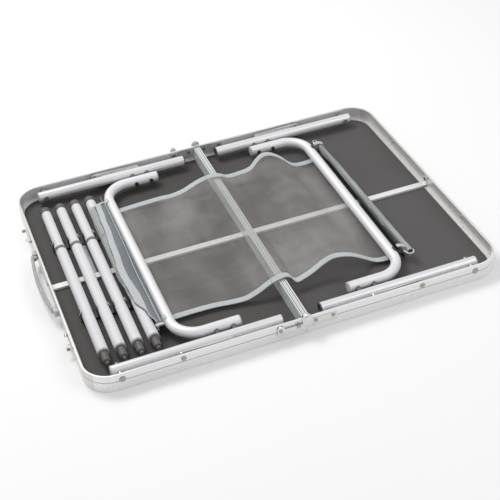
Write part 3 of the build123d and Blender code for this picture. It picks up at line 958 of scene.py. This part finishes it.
@dataclass
class StorageNet:
    """Mesh slung between the two cross tubes, bound with tape along both long edges."""

    far_edge: tuple[tuple[float, float, float], ...] = (
        (-236, 181, 12.2), (-213, 180, 12.2), (-178, 181, 13.6), (-125, 183, 14.0), (-98, 180, 15.4),
        (-73, 181, 18.5), (-51, 182, 26.5), (-32, 183, 32.5), (-12, 181, 37.6), (8, 177, 37.8),
        (26, 178, 28.5), (51, 178, 28.5), (77, 178, 33), (95, 183, 46), (108, 184, 54), (120, 182, 55),
        (133, 180, 50), (148, 172, 41.5), (162, 168, 28), (178, 171, 17), (197, 175, 12.4),
        (215, 177, 11.8), (238, 180, 11.8),
    )
    near_edge: tuple[tuple[float, float, float], ...] = (
        (-236, -182, 12.2), (-213, -182, 12.2), (-181, -182, 13.0), (-160, -182, 13.0),
        (-130, -183, 12.6), (-101, -188, 13.4), (-77, -191, 14.5), (-65, -192, 17.5), (-46, -191, 24),
        (-22, -188, 34), (-4, -187, 38.6), (8, -186, 38.8), (18, -186, 33.5), (27, -193, 25),
        (43, -191, 26), (65, -186, 30.5), (87, -181, 38), (106, -183, 47), (127, -189, 49),
        (148, -190, 41), (172, -184, 22), (193, -190, 13.2), (214, -192, 11.8), (238, -188, 11.8),
    )
    spans: int = 8
    across: int = 72
    tape_width: float = 0.013
    tape_thickness: float = 0.0011
    left_cut: float = -0.020
    right_cut: float = 0.020
    centre_sag: float = 0.0022
    rail_reach: float = 0.009
    rail_top: float = 0.0375
    board_top: float = 0.0112
    web_pitch: float = 0.0028
    tape_pitch: float = 0.002
    pucker_pitch: float = 0.0058

    def edge(self, knots: Sequence[Point]) -> list[Vector]:
        """Smooth edge line in metres."""
        return curve_through(in_metres(knots), self.spans)

    @staticmethod
    def at(edge: Sequence[Vector], x: float) -> Vector:
        """Point of an edge line at an x."""
        for low, high in zip(edge, edge[1:]):
            if x <= high.x:
                t = (x - low.x) / max(high.x - low.x, 1e-9)
                return low.lerp(high, min(max(t, 0.0), 1.0))
        return edge[-1].copy()

    def surface(self, x: float, t: float) -> Vector:
        """Point of the net.

        Args:
            x: place along the table.
            t: place across the net, 0 at the near edge and 1 at the far edge.

        Returns:
            The point, with sag and small ripples that fade out at the tapes and over the rails.
        """
        near = self.at(self._near, x)
        far = self.at(self._far, x)
        spot = near.lerp(far, t)
        ease = t * t * (3 - 2 * t)
        spot.z = near.z + (far.z - near.z) * ease
        inner = math.sin(math.pi * t)
        calm = min(1.0, max(0.0, (abs(x) - 0.012) / 0.03))
        held = min(1.0, max(0.0, (0.212 - abs(x)) / 0.03))
        ripple = lattice_noise(Vector((x * 26.0, t * 5.0, 3.7))) * 0.0035
        small = lattice_noise(Vector((x * 70.0, t * 16.0, 9.1))) * 0.0009
        spot.z += inner * calm * held * (ripple + small)
        spot.z -= inner * calm * held * self.centre_sag
        spot.z = max(spot.z, self.rail_top if abs(x) < self.rail_reach else self.board_top)
        return spot

    def web(self, name: str, low: float, high: float) -> Piece:
        """One length of the mesh between two places along the table."""
        rows = max(8, round((high - low) / self.web_pitch))
        points = [
            self.surface(low + (high - low) * row / (rows - 1), column / (self.across - 1))
            for row in range(rows)
            for column in range(self.across)
        ]
        return new_piece(name, points, sheet_faces(rows, self.across), NET)

    def binding(self, name: str, low: float, high: float) -> Piece:
        """Both edge tapes of one length of the net, folded round its edges."""
        rows = max(8, round((high - low) / self.tape_pitch))
        strips = []
        for row in Row:
            columns = 9
            points: list[Vector] = []
            for index in range(rows):
                x = low + (high - low) * index / (rows - 1)
                edge = self.surface(x, 0.0 if row is Row.NEAR else 1.0)
                inner = self.surface(x, 0.08 if row is Row.NEAR else 0.92)
                inward = (inner - edge).normalized()
                pucker = 0.00045 * math.sin(x / self.pucker_pitch * 2 * math.pi)
                for column in range(columns):
                    u = column / (columns - 1)
                    crown = 0.0006 * math.sin(math.pi * u)
                    spot = edge + inward * (self.tape_width * u - 0.001)
                    points.append(spot + Vector((0.0, 0.0, crown + pucker * (1 - abs(2 * u - 1)))))
            strip = new_piece(f"{name}_{row.name.lower()}", points, sheet_faces(rows, columns), TAPE)
            thicken(strip, self.tape_thickness)
            strips.append(strip)
        return joined(name, strips)

    def build(self) -> None:
        """Makes the net in three lengths, each with its tapes."""
        self._far = self.edge(self.far_edge)
        self._near = self.edge(self.near_edge)
        ends = (-0.236, self.left_cut, self.right_cut, 0.238)
        names = ("left", "centre", "right")
        holders = ("left_u_tube", "left_centre_rail", "right_u_tube")
        lengths = (0.222, 0.043, 0.25)
        for name, low, high, holder, length in zip(names, ends, ends[1:], holders, lengths):
            web = self.web(f"storage_net_{name}", low, high)
            binding = self.binding(f"net_binding_{name}", low, high)
            if name == "left":
                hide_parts("net_left")
                for piece in (web, binding):
                    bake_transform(piece)
            elif name == "right":
                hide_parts("net_right")
                for piece in (web, binding):
                    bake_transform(piece)
            else:
                for piece in (web, binding):
                    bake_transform(piece)
            log.info("%s and its binding", web.name)


@dataclass
class NetFold:
    """The net's surplus, folded outside a cross tube over its batten."""

    half: Half

    def build(self) -> None:
        """Makes the folded end of this half."""
        if self.half is Half.LEFT:
            self._left()
        else:
            self._right()

    def _sweep(
        self,
        name: str,
        stations: Sequence[tuple[float, Sequence[tuple[float, float]]]],
        finish: Finish,
        thickness: float,
        step: float = 0.003,
    ) -> Piece:
        """Cloth swept along Y through cross sections.

        Args:
            name: the piece's name.
            stations: y in mm with the section's (x, z) points in mm, all of the same number.
            finish: what it wears.
            thickness: of the cloth.
            step: length of a face along y.

        Returns:
            The new object.
        """
        low, high = stations[0][0] * MM, stations[-1][0] * MM
        rows = max(4, round((high - low) / step))
        points: list[Vector] = []
        columns = 0
        for index in range(rows):
            y = low + (high - low) * index / (rows - 1)
            section = []
            for number in range(len(stations[0][1])):
                xs = [(station[0] * MM, station[1][number][0] * MM) for station in stations]
                zs = [(station[0] * MM, station[1][number][1] * MM) for station in stations]
                section.append((value_at(xs, y), y, value_at(zs, y)))
            line = curve_through(section, 4)
            columns = len(line)
            for place, spot in enumerate(line):
                wobble = lattice_noise(Vector((place * 0.35, y * 38.0, 5.0))) * 0.0007
                points.append(spot + Vector((wobble, 0.0, wobble)))
        piece = new_piece(name, points, sheet_faces(rows, columns), finish)
        if thickness:
            thicken(piece, thickness)
        return piece

    def _left(self) -> None:
        """Doubled mesh, darkened with painted shade, beside the cross tube, its tape and the thin end over
        the fourth leg.

        Each row is y, then the x of the loose end, the tape's edge, the mesh's edge, the seam and the
        side towards the cross tube, all in mm.
        """
        rows = (
            (-200, -247.0, -246.5, -246.0, -239.5, -234.5),
            (-171, -254.3, -254.0, -252.8, -240.0, -234.2),
            (-129, -268.5, -267.0, -252.0, -240.0, -234.0),
            (-43, -276.5, -271.5, -258.5, -240.5, -233.8),
            (25, -275.0, -266.0, -254.3, -238.0, -233.8),
            (110, -274.0, -260.0, -249.5, -237.0, -233.8),
            (183, -272.5, -257.0, -246.0, -236.5, -233.8),
        )
        mesh, tape, edge, tail = [], [], [], []
        for y, outer, start, dark, seam, inner in rows:
            top = 34.6 if start < -255 else 33.6
            doubled = [
                (inner, 22.5),
                (inner - 0.6, 29.5),
                ((inner + seam) / 2, 31.6),
                (seam + 0.7, 31.2),
                (seam, 33.4),
                (seam - 0.9, 31.8),
                ((seam + dark) / 2, 33.2),
                (dark, top - 0.4),
            ]
            mesh.append((y, doubled))
            crown = ((start + dark) / 2, top + 0.9)
            tape.append((y, [(dark + 0.6, top - 0.1), crown, (start + 0.9, top + 0.2), (start, top - 0.8)]))
            rim = [(1.3, 0.1), (0.4, 0.3), (-0.8, -0.4), (-1.6, -1.6)]
            edge.append((y, [(start + across, top + up) for across, up in rim]))
            under = top - 1.2
            droop = min(6.0, (start - outer) * 0.7)
            hang = [
                (start + 0.5, under + 0.3),
                ((start * 2 + outer) / 3, under),
                ((start + outer * 2) / 3, under - droop * 0.3),
                (outer, under - droop),
            ]
            tail.append((y, hang))
        fold = self._sweep("left_net_fold", mesh, NET_FOLDED_SHADED, 0.0)
        binding = self._sweep("left_net_tape", tape, TAPE, 0.0007)
        hem = self._sweep("left_net_hem", edge[1:], NET_FOLDED_SHADED, 0.0)
        loose = self._sweep("left_net_tail", tail[1:], NET_TAIL, 0.0)
        seam_path = curve_through(in_metres([(row[4], row[0], 34.2) for row in rows]), 8)
        seam_line = swept_wire("left_net_seam", seam_path, 0.0005, HOOK, 6)
        strip = [(-260, 181, 35.4), (-250, 184, 35.2), (-240, 186, 34.8), (-232, 187, 35.4)]
        far_strip = self._hook("left_net_far_hook", strip, 4.4, 1.0)
        rod = curve_through(in_metres([(-240, 189, 33), (-240.5, 190, 39), (-241.5, 191.5, 45)]), 6)
        pin = swept_wire("left_net_pin", rod, 0.0008, WIRE)
        block = [(-250, -203, 30), (-246, -205, 32.6), (-240, -205.5, 33.4), (-235, -205, 32)]
        near_block = self._hook("left_net_near_hook", block, 6.0, 1.6)
        for piece in (fold, binding, hem, loose, seam_line, far_strip, pin, near_block):
            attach(piece, "left_leg_frame")
        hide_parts("left_net_flap")

    def _hook(self, name: str, path: Sequence[Point], width: float, thickness: float) -> Piece:
        """A moulded strap with rounded edges along a path.

        Args:
            name: the piece's name.
            path: its centre line in mm, running roughly along X.
            width: of the strap along Y, in mm.
            thickness: of the strap, in mm.

        Returns:
            The new object.
        """
        line = curve_through(in_metres(path), 6)
        ring = [
            (-0.5, -0.3), (-0.42, 0.4), (-0.2, 0.5), (0.2, 0.5), (0.42, 0.4), (0.5, -0.3), (0.3, -0.5),
            (-0.3, -0.5),
        ]
        offsets = [Vector((0.0, across * width * MM, up * thickness * MM)) for across, up in ring]
        points = [spot + offset for spot in line for offset in offsets]
        return new_piece(name, points, ring_faces(len(line), len(ring), True), HOOK)

    def _right(self) -> None:
        """Flattened roll hung on the batten outside the right cross tube, with a ring and a hook."""
        roll_near = [
            (252.0, 17.0), (251.0, 24.0), (251.6, 30.5), (255.0, 33.0), (259.5, 31.8), (261.2, 27.0),
            (260.2, 20.0), (257.0, 16.0), (253.4, 16.2),
        ]
        places = ((-204, 0.0, 0.0), (-60, 3.0, 0.0), (90, 5.5, 0.0), (194, 8.5, 0.5))
        stations = [(y, [(x - inward, z - down) for x, z in roll_near]) for y, inward, down in places]
        roll = self._sweep("right_net_roll", stations, NET_ROLLED, 0.0007)
        bend = [(246, -196, 27), (249, -207, 28), (254, -211, 29), (260, -209, 29), (262, -203, 30)]
        near_hook = swept_wire("right_net_near_hook", curve_through(in_metres(bend), 8), 0.0014, HOOK)
        far_path = [(234, 196, 34.5), (240, 197, 35.5), (246, 197, 35.0), (253, 195, 33.0)]
        block = self._hook("right_net_far_block", far_path, 9.0, 3.0)
        turns = [step * math.pi / 8 for step in range(17)]
        ring = [(240 + 4.2 * math.cos(turn), 206 + 4.2 * math.sin(turn), 34.0) for turn in turns]
        loop = swept_wire("right_net_ring", curve_through(in_metres(ring), 3), 0.0008, WIRE)
        near_path = [(236, -186, 35.0), (241, -187, 35.4), (247, -188, 34.0), (251, -189, 32.0)]
        near_block = self._hook("right_net_near_block", near_path, 8.0, 2.6)
        for piece in (roll, near_hook, block, loop, near_block):
            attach(piece, "right_leg_frame")
        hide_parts("right_net_flap")


# ---------------------------------------------------------------- studio


@dataclass
class Studio:
    """Camera, floor and soft light."""

    target: Point = (-0.0082, -0.0411, 0.0)
    distance: float = 2.1495
    azimuth: float = 19.1398
    elevation: float = 39.1755
    roll: float = -3.5192
    lens: float = 79.106
    sky_strength: float = 0.62
    key_power: float = 42.0
    fill_power: float = 13.0
    floor_reach: float = 12.0
    floor_level: float = -0.0004

    def camera(self) -> None:
        """Sets the camera at its viewing angle round the target."""
        heading, rise, roll = (math.radians(angle) for angle in (self.azimuth, self.elevation, self.roll))
        forward = Vector(
            (math.sin(heading) * math.cos(rise), math.cos(heading) * math.cos(rise), -math.sin(rise))
        )
        level = Vector((math.cos(heading), -math.sin(heading), 0.0))
        upright = level.cross(forward)
        right = level * math.cos(roll) + upright * math.sin(roll)
        up = upright * math.cos(roll) - level * math.sin(roll)
        data = bpy.data.cameras.new("table_camera")
        data.lens = self.lens
        data.sensor_width = 36.0
        camera = bpy.data.objects.new("table_camera", data)
        place = Vector(self.target) - forward * self.distance
        turn = Matrix((right, up, -forward)).transposed()
        camera.matrix_world = Matrix.Translation(place) @ turn.to_4x4()
        bpy.context.scene.collection.objects.link(camera)
        bpy.context.scene.camera = camera

    def light(self) -> None:
        """Adds a pale sky, a large key from the far left and a soft fill."""
        world = bpy.data.worlds.new("studio_sky")
        world.use_nodes = True
        background = world.node_tree.nodes["Background"]
        background.inputs[0].default_value = (1.0, 1.0, 1.0, 1.0)
        background.inputs[1].default_value = self.sky_strength
        bpy.context.scene.world = world
        bpy.context.scene.view_settings.view_transform = "Standard"
        self._panel("key_panel", (-0.9, 1.4, 2.4), (1.4, 1.0), self.key_power)
        self._panel("fill_panel", (1.6, -1.2, 2.2), (1.8, 1.8), self.fill_power)

    @staticmethod
    def _panel(name: str, place: Point, size: tuple[float, float], power: float) -> None:
        """One rectangular soft light aimed at the table."""
        data = bpy.data.lights.new(name, "AREA")
        data.shape = "RECTANGLE"
        data.size, data.size_y = size
        data.energy = power
        lamp = bpy.data.objects.new(name, data)
        lamp.location = place
        lamp.rotation_euler = (-Vector(place)).to_track_quat("-Z", "Y").to_euler()
        bpy.context.scene.collection.objects.link(lamp)

    def floor(self) -> None:
        """Adds the plain pale floor under the table."""
        signs = ((-1, -1), (1, -1), (1, 1), (-1, 1))
        corners = [(x * self.floor_reach, y * self.floor_reach, self.floor_level) for x, y in signs]
        mesh = bpy.data.meshes.new("studio_floor")
        mesh.from_pydata(corners, [], [(0, 1, 2, 3)])
        floor = bpy.data.objects.new("studio_floor", mesh)
        floor.data.materials.append(wardrobe.get(FLOOR))
        bpy.context.scene.collection.objects.link(floor)

    def build(self) -> None:
        """Sets up the whole studio."""
        self.camera()
        self.light()
        self.floor()


def main() -> None:
    """Builds the table's looks in order."""
    Studio().build()
    assemblies: Iterable[object] = (
        *(TabletopHalf(half) for half in Half),
        *(LegFrame(half) for half in Half),
        *(ExtensionLeg(number) for number in range(1, 5)),
        ClipRows(),
        Handle(),
        StorageNet(),
        *(NetFold(half) for half in Half),
    )
    for assembly in assemblies:
        assembly.build()
        log.info("finished %s", type(assembly).__name__)


if __name__ == "__main__":
    main()
